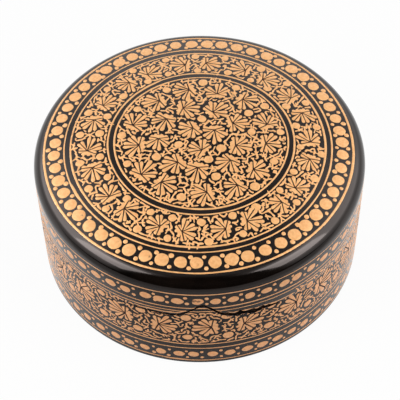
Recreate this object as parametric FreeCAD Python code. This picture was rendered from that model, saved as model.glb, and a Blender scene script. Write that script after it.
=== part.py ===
import FreeCAD, Part
import math
import os

# Round papier mache box with a lift-off lid, in millimetres. +Z is up, the underside rests on
# z = 0, the axis of the round body is the Z axis and the crest of the parting looks to -Y.
#
# The box is moulded from paper pulp as one closed shell, over a turned wooden mould whose
# edges are plain bevels. A chalk ground fills it out to the rounded outer form. The shell is
# then sawn in two around its wall. The cut runs level except at the front, where it climbs
# over a small crest that sets the lid in its one right place. A collar glued inside the base
# stands up past the cut and guides the lid. The inside is lined with lacquered paper.

# Outer form of the closed box
body_radius = 63.5
total_height = 58.1
lid_height = 26.1
crown_radius = 348.0
shoulder_radius = 5.7
sole_bevel = 0.8

# Layers of the wall, counted from the outside in
ground_thickness = 0.6
core_thickness = 2.8
lining_thickness = 0.4

# Edges of the mould, which the pulp and the lining follow
floor_bevel = 4.0
least_edge = 0.2

# Saw cut between the base and the lid, and the crest at the front
parting_tilt_deg = 1.8
seat_gap = 0.12
crest_half_width = 8.5
crest_rise = 7.4
crest_tip_round = 2.0
crest_foot_round = 8.0
crest_gap = 0.55
worn_gap = 0.65
worn_reach = 31.0
worn_round = 30.0

# Collar that guides the lid
collar_thickness = 1.8
collar_depth = 9.0
collar_stand = 9.5
collar_clearance = 0.4
collar_lip_bevel = 0.6

# How far every cutting solid runs past what it cuts
overrun = 4.0

AXIS_UP = FreeCAD.Vector(0, 0, 1)
ORIGIN = FreeCAD.Vector(0, 0, 0)

ground_face = ground_thickness
core_face = ground_face + core_thickness
cavity_face = core_face + lining_thickness
cavity_radius = body_radius - cavity_face
parting_height = total_height - lid_height

# The crown is the cap of a sphere about a point of the axis, and the shoulder's arc touches it
# and the wall. The two meet at edge_slope, and each deeper layer has the same two centres.
crown_centre_height = total_height - crown_radius
centre_distance = crown_radius - shoulder_radius
shoulder_reach = body_radius - shoulder_radius
edge_slope = math.asin(shoulder_reach / centre_distance)
shoulder_height = crown_centre_height + centre_distance * math.cos(edge_slope)


def vector(point):
    """Point of the XZ plane, from its distance to the axis and its height."""
    return FreeCAD.Vector(point[0], 0, point[1])


def line(start, end):
    return Part.LineSegment(vector(start), vector(end)).toShape()


def polyline(points):
    """Straight edges from each point to the next one that lies elsewhere."""
    return [line(start, end) for start, end in zip(points, points[1:]) if start != end]


def turned(edges):
    """Solid made by turning a closed outline of the XZ plane once about the Z axis."""
    return Part.Face(Part.Wire(edges)).revolve(ORIGIN, AXIS_UP, 360)


def slab(bottom, top):
    """Wide level slab between two heights, wider than the box on every side."""
    return Part.makeCylinder(body_radius + overrun, top - bottom, FreeCAD.Vector(0, 0, bottom))


def on_shoulder(depth, slope):
    """Point of the shoulder set in by depth, where it slopes down towards the wall."""
    radius = max(shoulder_radius - depth, least_edge)
    return shoulder_reach + radius * math.sin(slope), shoulder_height + radius * math.cos(slope)


def crowned(edges, rim, depth):
    """Body turned from edges that end at the crown's rim, with the cap of the sphere on it.

    The sphere is set in by depth. Its poles lie level with its centre, along X, which keeps
    them and its seam away from the cap.
    """
    bottom = (0, depth)
    body = turned(edges + polyline([rim, (0, rim[1]), bottom]))
    centre = FreeCAD.Vector(0, 0, crown_centre_height)
    sphere = Part.makeSphere(crown_radius - depth, centre, FreeCAD.Vector(-1, 0, 0))
    return body.fuse(sphere.common(slab(rim[1], total_height + overrun))).removeSplitter()


def outer_form():
    """The whole closed form as it looks from outside, rounded at the shoulder and crown."""
    slopes = (math.pi / 2, (math.pi / 2 + edge_slope) / 2, edge_slope)
    wall_end, middle, rim = (on_shoulder(0, slope) for slope in slopes)
    edges = polyline([(0, 0), (body_radius - sole_bevel, 0), (body_radius, sole_bevel), wall_end])
    edges.append(Part.Arc(vector(wall_end), vector(middle), vector(rim)).toShape())
    return crowned(edges, rim, 0)


def bevelled_form(depth, bevel):
    """The closed form that lies inside the outer one by depth, with bevels at its edges.

    The shoulder's bevel joins the ends of its arc: the top of the wall and the crown's rim.
    """
    wall = body_radius - depth
    rim = on_shoulder(depth, edge_slope)
    edges = polyline([(0, depth), (wall - bevel, depth), (wall, depth + bevel), (wall, shoulder_height), rim])
    return crowned(edges, rim, depth)


def rounded_path(points, rounds):
    """Edges through the points, with a tangent arc of the given round at each inner point."""
    edges = []
    start = points[0]
    for index, wanted in enumerate(rounds, start=1):
        before, corner, after = (vector(point) for point in points[index - 1:index + 2])
        incoming = (before - corner).normalize()
        outgoing = (after - corner).normalize()
        half = incoming.getAngle(outgoing) / 2
        room = min((before - corner).Length, (after - corner).Length) / 2
        tangent = min(wanted / math.tan(half), room)
        radius = tangent * math.tan(half)
        bisector = (incoming + outgoing).normalize()
        first = corner + incoming * tangent
        middle = corner + bisector * (radius / math.sin(half) - radius)
        last = corner + outgoing * tangent
        edges.append(line(start, (first.x, first.z)))
        edges.append(Part.Arc(first, middle, last).toShape())
        start = (last.x, last.z)
    edges.append(line(start, points[-1]))
    return edges


def crest_path(gap, tip_gap, level, reach):
    """Line of the saw cut across the front, from side to side, over the crest.

    gap is how far the line stands off the base's rim beside the crest and along its flanks,
    tip_gap the same over its tip, and level its height at the sides of the box.
    """
    slope = crest_rise / crest_half_width
    tip = crest_rise + tip_gap * math.hypot(1, slope)
    foot = (tip - gap) / slope
    points = [(-reach, level), (-foot, gap), (0, tip), (foot, gap), (reach, level)]
    foot_round = max(crest_foot_round - gap, least_edge)
    rounds = [foot_round, crest_tip_round + tip_gap, foot_round]
    if gap > level:
        points[1:1] = [(-worn_reach, level)]
        points[-1:-1] = [(worn_reach, level)]
        rounds = [worn_round] + rounds + [worn_round]
    return rounded_path(points, rounds)


def parting_tool(path, level, up):
    """Solid that takes away all that lies above the saw cut, or all below it.

    The crested line is drawn out over the front half, and the back half is flat. Both are
    then tilted together about the line where they meet the middle of the box.
    """
    reach = body_radius + overrun
    far = (total_height + overrun) * (1 if up else -1)
    left_end = (-reach, level)
    right_end = (reach, level)
    closing = polyline([right_end, (reach, far), (-reach, far), left_end])
    front = Part.Face(Part.Wire(path + closing)).extrude(FreeCAD.Vector(0, -reach, 0))
    plain = Part.Wire([line(left_end, right_end)] + closing)
    back = Part.Face(plain).extrude(FreeCAD.Vector(0, reach, 0))
    tool = front.fuse(back).removeSplitter()
    tool.rotate(ORIGIN, FreeCAD.Vector(0, 1, 0), parting_tilt_deg)
    tool.translate(FreeCAD.Vector(0, 0, parting_height))
    return tool


def collar_ring():
    """Ring glued inside the base, pared back where it stands past the saw cut.

    Its foot fits the lining. Its neck is thinner by the clearance of the lid, and its lip is
    pared to a bevel outside to lead the lid on.
    """
    inside = cavity_radius - collar_thickness
    neck = cavity_radius - collar_clearance
    foot = parting_height - collar_depth
    lip = parting_height + collar_stand
    drop = body_radius * math.tan(math.radians(parting_tilt_deg))
    pared_from = parting_height - drop - collar_clearance
    bevel = min(collar_lip_bevel, (neck - inside) / 2)
    corner = (inside, foot)
    return turned(polyline([
        corner,
        (cavity_radius, foot),
        (cavity_radius, pared_from - collar_clearance),
        (neck, pared_from),
        (neck, lip - bevel),
        (neck - bevel, lip),
        (inside, lip),
        corner,
    ]))


def main():
    """Mould the layers, saw them, divide the linings and write each piece to its file."""
    ground_form = bevelled_form(ground_face, 0)
    core_form = bevelled_form(core_face, floor_bevel)
    cavity_form = bevelled_form(cavity_face, floor_bevel)
    ground = outer_form().cut(ground_form)
    core = ground_form.cut(core_form)
    lining = core_form.cut(cavity_form)

    reach = body_radius + overrun
    above_base = parting_tool(crest_path(0, 0, 0, reach), 0, True)
    below_lid = parting_tool(crest_path(worn_gap, crest_gap, seat_gap, reach), seat_gap, False)

    sole_band = slab(-overrun, ground_face + sole_bevel)
    floor_band = slab(-overrun, cavity_face + floor_bevel)
    crown_band = slab(shoulder_height, total_height + overrun)

    pieces = {
        "base_core": core.cut(above_base),
        "base_skin": ground.cut(above_base).cut(sole_band),
        "base_sole": ground.common(sole_band),
        "base_wall_lining": lining.cut(above_base).cut(floor_band),
        "base_floor_lining": lining.common(floor_band),
        "base_collar": collar_ring(),
        "lid_core": core.cut(below_lid),
        "lid_skin": ground.cut(below_lid),
        "lid_wall_lining": lining.cut(below_lid).cut(crown_band),
        "lid_crown_lining": lining.common(crown_band),
    }
    os.makedirs("parts", exist_ok=True)
    for name, shape in pieces.items():
        shape = shape.removeSplitter()
        solids = shape.Solids
        whole = solids[0] if len(solids) == 1 else shape
        print(name, "solids", len(solids), "valid", whole.isValid(), "volume", round(whole.Volume, 1))
        whole.exportStep("parts/" + name + ".step")


main()
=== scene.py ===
"""Round papier mache box with a lift-off lid, painted in gold on black lacquer.

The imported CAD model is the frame: it says where the layers are and how the lid moves. Smooth
shells stand for its faceted layers, and the gold ornament lies on the lacquer as brush strokes,
each one a thin closed solid of paint.

Lengths are in millimetres until they go into a mesh. Angles round the box are counted from the
front, which looks to -Y, towards +X. The ornament is laid out on two flat charts: the crown's,
which is the plan of the lid, and the wall's, which is the wall rolled out.
"""

import logging
import math
from dataclasses import dataclass, field, replace
from enum import Enum
from typing import Callable, ClassVar, Sequence

import bpy
import numpy as np
from mathutils import Matrix, Vector
from numpy.typing import NDArray


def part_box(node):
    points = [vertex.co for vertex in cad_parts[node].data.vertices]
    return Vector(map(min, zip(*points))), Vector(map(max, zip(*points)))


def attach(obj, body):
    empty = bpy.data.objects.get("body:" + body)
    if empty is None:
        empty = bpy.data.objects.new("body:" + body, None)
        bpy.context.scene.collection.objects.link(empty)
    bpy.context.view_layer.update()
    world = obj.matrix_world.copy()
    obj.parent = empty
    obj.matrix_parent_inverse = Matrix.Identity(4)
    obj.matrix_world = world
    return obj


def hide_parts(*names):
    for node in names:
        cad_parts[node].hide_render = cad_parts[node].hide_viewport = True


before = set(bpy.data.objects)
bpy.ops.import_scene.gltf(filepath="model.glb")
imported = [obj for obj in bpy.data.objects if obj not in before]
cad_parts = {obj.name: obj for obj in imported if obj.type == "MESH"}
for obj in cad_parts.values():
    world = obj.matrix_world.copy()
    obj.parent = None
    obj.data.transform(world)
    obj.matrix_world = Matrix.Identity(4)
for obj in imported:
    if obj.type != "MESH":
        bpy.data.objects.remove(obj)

Array = NDArray[np.float64]
Faces = list[NDArray[np.int64]]
Colour = tuple[float, float, float]
Point = tuple[float, float, float]
Span = tuple[float, float]
Region = Callable[[Array], NDArray[np.bool_]]
Inputs = dict[str, object]
Generator = np.random.Generator
Material = bpy.types.Material
Socket = bpy.types.NodeSocket

LOG = logging.getLogger("papier_mache_box")
MM = 0.001
FULL_TURN = 2 * math.pi
NOISE_SPAN = (0.3, 0.7)


class Slot(Enum):
    """Material slots of the record."""

    PULP = "paper_pulp"
    LACQUER = "black_lacquer"
    SOLE = "sole_lacquer"
    LINING = "lining_lacquer"
    COLLAR = "collar_lacquer"
    GOLD = "gold_paint"


class Half(Enum):
    """The two bodies of the frame."""

    BASE = "base"
    LID = "lid"


# Form of the box


def eased(points: Array, reaches: Array, steps: int = 6) -> Array:
    """Ease the corners of an outline.

    A corner c with reach > 0 becomes the curve (1-t)^2 a + 2t(1-t) c + t^2 b, where a and b lie
    that far from it on its two sides.

    Args:
        points: Corners of the outline, one (r, z) or (x, z) per row.
        reaches: Reach of the rounding at every corner; the ends are left alone.
        steps: Points on each eased corner.

    Returns:
        The points of the eased outline.
    """
    t = np.linspace(0, 1, steps)[:, None]
    rows = [points[:1]]
    for before, corner, after, reach in zip(points, points[1:], points[2:], reaches[1:-1]):
        if reach <= 0:
            rows.append(corner[None])
            continue
        to_before, to_after = before - corner, after - corner
        lengths = np.hypot(*to_before), np.hypot(*to_after)
        reach = min(reach, lengths[0] / 2, lengths[1] / 2)
        first = corner + to_before * reach / lengths[0]
        last = corner + to_after * reach / lengths[1]
        rows.append((1 - t) ** 2 * first + 2 * t * (1 - t) * corner + t**2 * last)
    rows.append(points[-1:])
    return np.concatenate(rows)


@dataclass(frozen=True)
class BoxForm:
    """Sizes of the box as in its CAD source, and the curves that follow from them."""

    radius: float
    height: float
    crown_radius: float = 348.0
    shoulder_radius: float = 5.7
    sole_bevel: float = 0.8
    ground: float = 0.6
    pulp: float = 2.8
    lining: float = 0.4
    floor_bevel: float = 4.0
    collar_stand: float = 9.5
    paint_room: float = 0.07
    crown_steps: int = 34
    shoulder_steps: int = 16

    @classmethod
    def from_frame(cls) -> "BoxForm":
        """Take the overall sizes from the lid's CAD node."""
        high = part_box("lid_skin")[1]
        return cls(radius=high.x / MM, height=high.z / MM)

    @property
    def pulp_face(self) -> float:
        """Depth of the pulp's inner face."""
        return self.ground + self.pulp

    @property
    def cavity_face(self) -> float:
        """Depth of the lining's inner face."""
        return self.pulp_face + self.lining

    @property
    def crown_centre(self) -> float:
        """Height of the centre of the crown's sphere."""
        return self.height - self.crown_radius

    @property
    def edge_slope(self) -> float:
        """Slope at which the crown meets the shoulder, from the distances of their centres."""
        return math.asin((self.radius - self.shoulder_radius) / (self.crown_radius - self.shoulder_radius))

    @property
    def shoulder_height(self) -> float:
        """Height at which the shoulder meets the wall."""
        return self.crown_centre + (self.crown_radius - self.shoulder_radius) * math.cos(self.edge_slope)

    def crown_run(self, depth: float, rounded: bool) -> Array:
        """Section of the crown from the axis out to the wall, set in by a depth.

        The crown is an arc, r = R sin a and z = c + R cos a with R shorter by the depth. The
        shoulder is such an arc about its own centre, or a straight bevel.

        Args:
            depth: How far the section lies inside the outer form.
            rounded: Whether the shoulder is an arc.

        Returns:
            Points (r, z).
        """
        sphere = self.crown_radius - depth
        slopes = np.linspace(0, self.edge_slope, self.crown_steps)
        crown = np.stack([sphere * np.sin(slopes), self.crown_centre + sphere * np.cos(slopes)], 1)
        wall = np.array([[self.radius - depth, self.shoulder_height]])
        if not rounded:
            return np.concatenate([crown, wall])
        corner = self.shoulder_radius - depth
        slopes = np.linspace(self.edge_slope, math.pi / 2, self.shoulder_steps)[1:]
        radii = self.radius - self.shoulder_radius + corner * np.sin(slopes)
        heights = self.shoulder_height + corner * np.cos(slopes)
        return np.concatenate([crown, np.stack([radii, heights], 1)])

    def floor_run(self, depth: float, bevel: float) -> Array:
        """Section of the floor from the axis out to the wall, set in by a depth.

        Args:
            depth: How far the section lies inside the outer form.
            bevel: Size of the bevel that leads up to the wall, or 0 for none.

        Returns:
            Points (r, z).
        """
        wall = self.radius - depth
        run = np.array([[0, depth], [wall / 2, depth], [wall - bevel, depth], [wall, depth + bevel]])
        return run if bevel else run[:3]


def wander(at: Array, step: float, rng: Generator) -> Array:
    """Smooth random wave that takes a new turn every step.

    From one knot to the next its height goes over by t t (3 - 2 t).

    Args:
        at: Places along the wave.
        step: Distance between its knots.
        rng: Source of the knots' heights.

    Returns:
        Heights between -1 and 1.
    """
    where = (at - at.min()) / step
    low = where.astype(int)
    t = where - low
    t = t * t * (3 - 2 * t)
    knots = rng.uniform(-1, 1, low.max() + 2)
    return knots[low] * (1 - t) + knots[low + 1] * t


@dataclass
class Parting:
    """Saw cut between base and lid: level but for a crest in front, and a little tilted.

    Beside the crest its edges are worn and ragged, and chipped most about one place to its
    right. The ragged waves are pairs of a share and a step. Of the chips' seeds and depths, the
    first is the base's and the second the lid's.
    """

    form: BoxForm
    height: float = 32.0
    tilt: float = math.radians(1.8)
    seat_gap: float = 0.12
    crest_half_width: float = 8.5
    crest_rise: float = 7.4
    tip_reach: float = 1.75
    foot_reach: float = 3.0
    crest_gap: float = 0.55
    worn_gap: float = 0.65
    worn_reach: float = 31.0
    worn_ease: float = 3.0
    worn_fade: float = 4.0
    ease_steps: int = 9
    ragged_depth: float = 0.34
    ragged_least: float = 0.3
    ragged_waves: tuple[tuple[float, float], ...] = ((0.6, 0.9), (0.5, 2.3), (0.2, 0.4))
    chip_seeds: tuple[int, int] = (43, 41)
    chip_angle: float = math.radians(16.0)
    chip_spread: float = math.radians(8.5)
    chip_depths: tuple[float, float] = (0.7, 1.0)
    chip_raggedness: float = 0.95
    gold_wear: float = 0.55
    gold_wear_step: float = 1.3
    gold_wear_least: float = 0.4
    paint_margin: float = 0.03
    base_line: Array = field(init=False)
    lid_line: Array = field(init=False)

    def __post_init__(self) -> None:
        """Work out the two edges of the cut."""
        self.base_line = self._line(0, 0, 0)
        self.lid_line = self._line(self.worn_gap, self.crest_gap, self.seat_gap)

    def _line(self, gap: float, tip_gap: float, level: float) -> Array:
        """Edge of the cut over x, with its feet and tip eased, turned by the tilt.

        Args:
            gap: How far the edge stands off the base's beside the crest and along its flanks.
            tip_gap: How far it stands off over the tip.
            level: Its height at the sides of the box, over that of the cut.

        Returns:
            Points (x, z) from left to right.
        """
        slope = self.crest_rise / self.crest_half_width
        tip = self.crest_rise + tip_gap * math.hypot(1, slope)
        foot = (tip - gap) / slope
        reach = self.form.radius + self.crest_half_width
        worn = self.worn_reach
        xs = [-reach, -worn, -foot, 0, foot, worn, reach]
        zs = [level, level, gap, tip, gap, level, level]
        eases = [0, self.worn_ease, self.foot_reach, self.tip_reach, self.foot_reach, self.worn_ease, 0]
        line = eased(np.array([xs, zs], float).T, np.array(eases), self.ease_steps)
        cosine, sine = math.cos(self.tilt), math.sin(self.tilt)
        x = line[:, 0] * cosine + line[:, 1] * sine
        z = line[:, 1] * cosine - line[:, 0] * sine
        return np.stack([x, self.height + z], 1)

    def level(self, half: Half) -> float:
        """Height of one half's edge where the cut is level, in the middle of the box."""
        return self.height + (0 if half is Half.BASE else self.seat_gap)

    def edge(self, half: Half, x: Array, y: Array) -> Array:
        """Height of one half's edge: crested in front, flat behind.

        Args:
            half: Body whose edge it is.
            x: Distances to the right of the axis.
            y: Distances behind it.

        Returns:
            Heights at those points of the plan.
        """
        line = self.base_line if half is Half.BASE else self.lid_line
        flat = self.level(half) - x * math.tan(self.tilt)
        return np.where(y < 0, np.interp(x, line[:, 0], line[:, 1]), flat)

    def wall_edge(self, half: Half, angles: Array) -> Array:
        """Height of one half's edge on the outside of the wall, at angles round the box."""
        radius = self.form.radius
        return self.edge(half, radius * np.sin(angles), -radius * np.cos(angles))

    def chipped(self, half: Half, angles: Array, margin: float = 0.0) -> Array:
        """How far an edge of the cut is chipped back, upwards on the lid and downwards on the base.

        To a ragged wave it adds a chip exp(-((a - c) / s)^2) about one angle c, itself ragged,
        and both fade out at the ends of the worn stretch.

        Args:
            half: Body whose edge it is.
            angles: Angles round the box.
            margin: Depth to add everywhere; past it the gold is worn off rather further.

        Returns:
            Rise of the edge at every angle.
        """
        lid = half is Half.LID
        rng = np.random.default_rng(self.chip_seeds[lid])
        turn = np.arctan2(np.sin(angles), np.cos(angles))
        arc = self.form.radius * np.append(turn, (-math.pi, math.pi))
        zone = np.clip((self.worn_reach - np.abs(arc)) / self.worn_fade, 0, 1)
        rough = sum(share * wander(arc, step, rng) for share, step in self.ragged_waves)
        chip = np.exp(-((arc / self.form.radius - self.chip_angle) / self.chip_spread) ** 2)
        depth = self.ragged_depth * (self.ragged_least + np.clip(rough, 0, 1))
        depth = depth + self.chip_depths[lid] * chip * (1 + self.chip_raggedness * rough)
        if margin:
            wear = self.gold_wear * np.clip(wander(arc, self.gold_wear_step, rng), 0, 1)
            depth = depth + wear * (self.gold_wear_least + chip)
        depth = zone * depth + margin
        return (depth if lid else -depth)[:-2]


# Meshes


def make_piece(name: str, vertices: Array, faces: Faces, finish: Material,
               half: Half, replaced: Sequence[str] = (), sharp: float = 40.0) -> None:
    """Put arrays into a mesh and seat the piece in the frame.

    Args:
        name: Name of the piece.
        vertices: Points in millimetres.
        faces: Index arrays, one for each number of corners.
        finish: Material of the whole piece.
        half: Body that carries the piece.
        replaced: CAD nodes that the piece stands for.
        sharp: Angle in degrees past which an edge stays sharp.
    """
    mesh = bpy.data.meshes.new(name)
    corners = np.concatenate([part.ravel() for part in faces])
    counts = np.concatenate([np.full(len(part), part.shape[1]) for part in faces])
    mesh.vertices.add(len(vertices))
    mesh.vertices.foreach_set("co", (vertices * MM).astype(np.float32).ravel())
    mesh.loops.add(len(corners))
    mesh.loops.foreach_set("vertex_index", corners.astype(np.int32))
    mesh.polygons.add(len(counts))
    mesh.polygons.foreach_set("loop_start", (np.cumsum(counts) - counts).astype(np.int32))
    mesh.update(calc_edges=True)
    mesh.validate()
    mesh.shade_smooth()
    mesh.set_sharp_from_angle(angle=math.radians(sharp))
    mesh.materials.append(finish)
    piece = bpy.data.objects.new(name, mesh)
    bpy.context.scene.collection.objects.link(piece)
    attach(piece, half.value)
    if replaced:
        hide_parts(*replaced)
    LOG.info("%s: %d vertices, %d faces", name, len(vertices), len(counts))


@dataclass(frozen=True)
class Lathe:
    """Turns sections into shells, bends their edges along the parting and gives them their finish.

    Of an anchor's two heights, the first is where the bending sets in and the second where it
    is in full.
    """

    parting: Parting
    finishes: dict[Slot, Material]
    worn_half_angle: float = math.radians(32.0)
    fine_steps: int = 321
    coarse_steps: int = 200
    base_anchor: tuple[float, float] = (20.0, 31.0)
    lid_anchor: tuple[float, float] = (46.0, 35.0)
    chip_hold: int = 4

    @property
    def angles(self) -> Array:
        """Angles once round the box, close together where the parting is crested and worn."""
        start, end = self.worn_half_angle, FULL_TURN - self.worn_half_angle
        return np.concatenate([np.linspace(-start, start, self.fine_steps),
                               np.linspace(start, end, self.coarse_steps)[1:-1]])

    def turn(self, section: Array, closed: bool, half: Half, ragged: bool) -> tuple[Array, Faces]:
        """Turn a section about the axis.

        A point (r, z) goes to (r sin a, -r cos a, z). Where it lies near the parting its height
        then shifts with the edge of its half at that place.

        Args:
            section: Points (r, z), up the outside and down the inside.
            closed: True for a ring; otherwise the section starts and ends on the axis.
            half: Body whose edge the shell follows.
            ragged: Whether the edge is chipped where it is worn.

        Returns:
            Vertices and faces, with outward faces.
        """
        angles = self.angles
        rows = section if closed else section[1:-1]
        radii, heights = rows[:, :1], rows[:, 1:]
        x, y = radii * np.sin(angles), -radii * np.cos(angles)
        z = heights + np.zeros_like(x)
        anchor = self.base_anchor if half is Half.BASE else self.lid_anchor
        share = np.clip((z - anchor[0]) / (anchor[1] - anchor[0]), 0, 1)
        z = z + share * (self.parting.edge(half, x, y) - self.parting.level(half))
        if ragged:
            z = z + share**self.chip_hold * self.parting.chipped(half, angles)
        grid = np.stack([x, y, z], 2)
        index = np.arange(grid.shape[0] * grid.shape[1]).reshape(grid.shape[:2])
        low, high = (index, np.roll(index, -1, 0)) if closed else (index[:-1], index[1:])
        quads = np.stack([low, np.roll(low, -1, 1), np.roll(high, -1, 1), high], 2).reshape(-1, 4)
        vertices = grid.reshape(-1, 3)
        if closed:
            return vertices, [quads]
        ends = np.array([[0, 0, section[0, 1]], [0, 0, section[-1, 1]]])
        first, last = index[0], index[-1]
        start = np.stack([np.full_like(first, len(vertices)), np.roll(first, -1), first], 1)
        finish = np.stack([last, np.roll(last, -1), np.full_like(last, len(vertices) + 1)], 1)
        return np.concatenate([vertices, ends]), [quads, np.concatenate([start, finish])]

    def shell(self, name: str, replaced: str, half: Half, slot: Slot, section: Array, closed: bool = False,
              ragged: bool = False) -> None:
        """Turn a section, make a piece of it and let it stand for the CAD node that it replaces."""
        vertices, faces = self.turn(section, closed, half, ragged)
        make_piece(name, vertices, faces, self.finishes[slot], half, [replaced])


# Finishes


class Nodes:
    """Node tree of one material or world, with short calls to add and join nodes."""

    def __init__(self, owner: bpy.types.ID) -> None:
        """Start an empty tree.

        Args:
            owner: Material or world that the tree belongs to.
        """
        owner.use_nodes = True
        self.tree = owner.node_tree
        self.tree.nodes.clear()
        self.place = self.add("ShaderNodeTexCoord")

    def add(self, kind: str, inputs: dict | None = None, **settings: object) -> bpy.types.Node:
        """Add a node.

        Args:
            kind: Type of the node.
            inputs: By the name or number of an input, its value or the socket to join to it.
            settings: Properties of the node.

        Returns:
            The new node.
        """
        node = self.tree.nodes.new(kind)
        for key, value in settings.items():
            setattr(node, key, value)
        for key, value in (inputs or {}).items():
            if isinstance(value, Socket):
                self.tree.links.new(value, node.inputs[key])
            else:
                node.inputs[key].default_value = value
        return node

    def axes(self, space: str = "Object") -> bpy.types.Node:
        """Node whose outputs X, Y and Z are the coordinates of a space."""
        return self.add("ShaderNodeSeparateXYZ", {0: self.place.outputs[space]})

    def noise(self, size: float, detail: float = 3.0, roughness: float = 0.55) -> Socket:
        """Noise on object coordinates, with blotches of about a size in millimetres."""
        values = {"Vector": self.place.outputs["Object"], "Scale": 1 / (size * MM),
                  "Detail": detail, "Roughness": roughness}
        return self.add("ShaderNodeTexNoise", values).outputs["Fac"]

    def spread(self, value: Socket, low: float, high: float, start: float, end: float) -> Socket:
        """Carry low..high over to start..end, smoothly and held at both ends."""
        values = {"Value": value, "From Min": low, "From Max": high, "To Min": start, "To Max": end}
        return self.add("ShaderNodeMapRange", values, interpolation_type="SMOOTHSTEP").outputs["Result"]

    def math(self, operation: str, first: object, second: object) -> Socket:
        """Two values joined by an operation such as MULTIPLY."""
        return self.add("ShaderNodeMath", {0: first, 1: second}, operation=operation).outputs[0]

    def vector(self, operation: str, first: object, second: object) -> Socket:
        """Two vectors joined by an operation such as SUBTRACT."""
        return self.add("ShaderNodeVectorMath", {0: first, 1: second}, operation=operation).outputs[0]

    def blend(self, share: object, first: object, second: object) -> Socket:
        """Mix of two colours, given as colours or sockets."""
        values = {0: share, 6: rgba(first), 7: rgba(second)}
        return self.add("ShaderNodeMix", values, data_type="RGBA").outputs[2]

    def mix(self, share: object, first: object, second: object) -> Socket:
        """Mix of two values."""
        return self.add("ShaderNodeMix", {0: share, 2: first, 3: second}, data_type="FLOAT").outputs[0]

    def bump(self, value: Socket, depth: float, below: object = None) -> Socket:
        """Relief of a value.

        Args:
            value: Height, from 0 to 1.
            depth: Depth of the relief in millimetres.
            below: Relief that this one lies on, if there is one.

        Returns:
            The normal of the relief.
        """
        values = {"Height": value, "Distance": depth * MM, "Strength": 1.0}
        if below is not None:
            values["Normal"] = below
        return self.add("ShaderNodeBump", values).outputs["Normal"]

    def rays(self) -> tuple[Socket, Socket]:
        """Whether a ray comes from the camera, and whether from a mirror image or through glass."""
        path = self.add("ShaderNodeLightPath").outputs
        return path["Is Camera Ray"], self.math("MAXIMUM", path["Is Glossy Ray"], path["Is Transmission Ray"])


def rgba(colour: object) -> object:
    """Give a plain colour its fourth number; a socket is left as it is."""
    return (*colour, 1.0) if isinstance(colour, tuple) else colour


@dataclass(frozen=True)
class Finish:
    """Look of a piece. Each kind of finish says what goes into its principled surface."""

    name: str

    def inputs(self, nodes: Nodes) -> Inputs:
        """Values and sockets for the surface, by the name of the input."""
        raise NotImplementedError

    def material(self) -> Material:
        """Build the material.

        Returns:
            The new material.
        """
        made = bpy.data.materials.new(self.name)
        nodes = Nodes(made)
        surface = nodes.add("ShaderNodeBsdfPrincipled", self.inputs(nodes))
        nodes.add("ShaderNodeOutputMaterial", {"Surface": surface.outputs["BSDF"]})
        return made


@dataclass(frozen=True)
class Lacquer(Finish):
    """Brushed and rubbed lacquer over paper: nearly black, with a soft wave to its gloss."""

    deep: Colour = (0.0022, 0.0016, 0.0012)
    thin: Colour = (0.006, 0.0036, 0.0026)
    gloss: Span = (0.08, 0.14)
    sheen_colour: Colour = (1.0, 0.87, 0.83)
    patch_span: Span = (0.35, 0.7)
    patch_size: float = 14.0
    gloss_size: float = 4.0
    wave_size: float = 9.0
    wave_detail: float = 1.5
    wave_depth: float = 0.035
    grain_size: float = 0.7
    grain_depth: float = 0.0025

    def inputs(self, nodes: Nodes) -> Inputs:
        """Thin patches in the colour, a wave and a grain in the relief.

        Args:
            nodes: Tree of the material.

        Returns:
            Values and sockets by the name of the input.
        """
        patches = nodes.noise(self.patch_size)
        wave = nodes.bump(nodes.noise(self.wave_size, self.wave_detail), self.wave_depth)
        grain = nodes.bump(nodes.noise(self.grain_size), self.grain_depth, wave)
        return {
            "Base Color": nodes.blend(nodes.spread(patches, *self.patch_span, 0, 1), self.deep, self.thin),
            "Roughness": nodes.spread(nodes.noise(self.gloss_size), *self.patch_span, *self.gloss),
            "Specular Tint": rgba(self.sheen_colour),
            "Normal": grain,
        }


@dataclass(frozen=True)
class RubbedLacquer(Finish):
    """Lacquer worn through to the brown board between two heights, more towards the upper."""

    heights: Span
    deep: Colour = (0.010, 0.008, 0.007)
    board: Colour = (0.20, 0.115, 0.06)
    gloss: Span = (0.28, 0.42)
    wear: float = 0.62
    break_size: float = 2.2
    break_reach: float = 0.6
    bare_from: Span = (0.62, 0.95)
    grain_size: float = 0.5
    grain_depth: float = 0.01

    def inputs(self, nodes: Nodes) -> Inputs:
        """The wear is height plus noise, and the board shows where it is high enough.

        Args:
            nodes: Tree of the material.

        Returns:
            Values and sockets by the name of the input.
        """
        low, high = (value * MM for value in self.heights)
        reach = nodes.spread(nodes.axes().outputs["Z"], low, high, 0.0, self.wear)
        broken = nodes.spread(nodes.noise(self.break_size), *NOISE_SPAN, 0, self.break_reach)
        share = nodes.spread(nodes.math("ADD", reach, broken), *self.bare_from, 0, 1)
        return {
            "Base Color": nodes.blend(share, self.deep, self.board),
            "Roughness": nodes.spread(share, 0, 1, *self.gloss),
            "Normal": nodes.bump(nodes.noise(self.grain_size), self.grain_depth),
        }


@dataclass(frozen=True)
class Pulp(Finish):
    """Pressed paper pulp on a sawn edge: fibrous, stained dark by the lacquer."""

    stained: Colour = (0.004, 0.0025, 0.002)
    bare: Colour = (0.055, 0.028, 0.014)
    bare_size: float = 1.8
    bare_span: Span = (0.5, 0.7)
    fibre_size: float = 0.35
    fibre_depth: float = 0.05
    roughness: float = 0.95
    specular: float = 0.12

    def inputs(self, nodes: Nodes) -> Inputs:
        """Bare spots in the colour and fibres in the relief."""
        share = nodes.spread(nodes.noise(self.bare_size, 4.0), *self.bare_span, 0, 1)
        return {
            "Base Color": nodes.blend(share, self.stained, self.bare),
            "Roughness": self.roughness,
            "Specular IOR Level": self.specular,
            "Normal": nodes.bump(nodes.noise(self.fibre_size, 6.0, 0.7), self.fibre_depth),
        }


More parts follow.
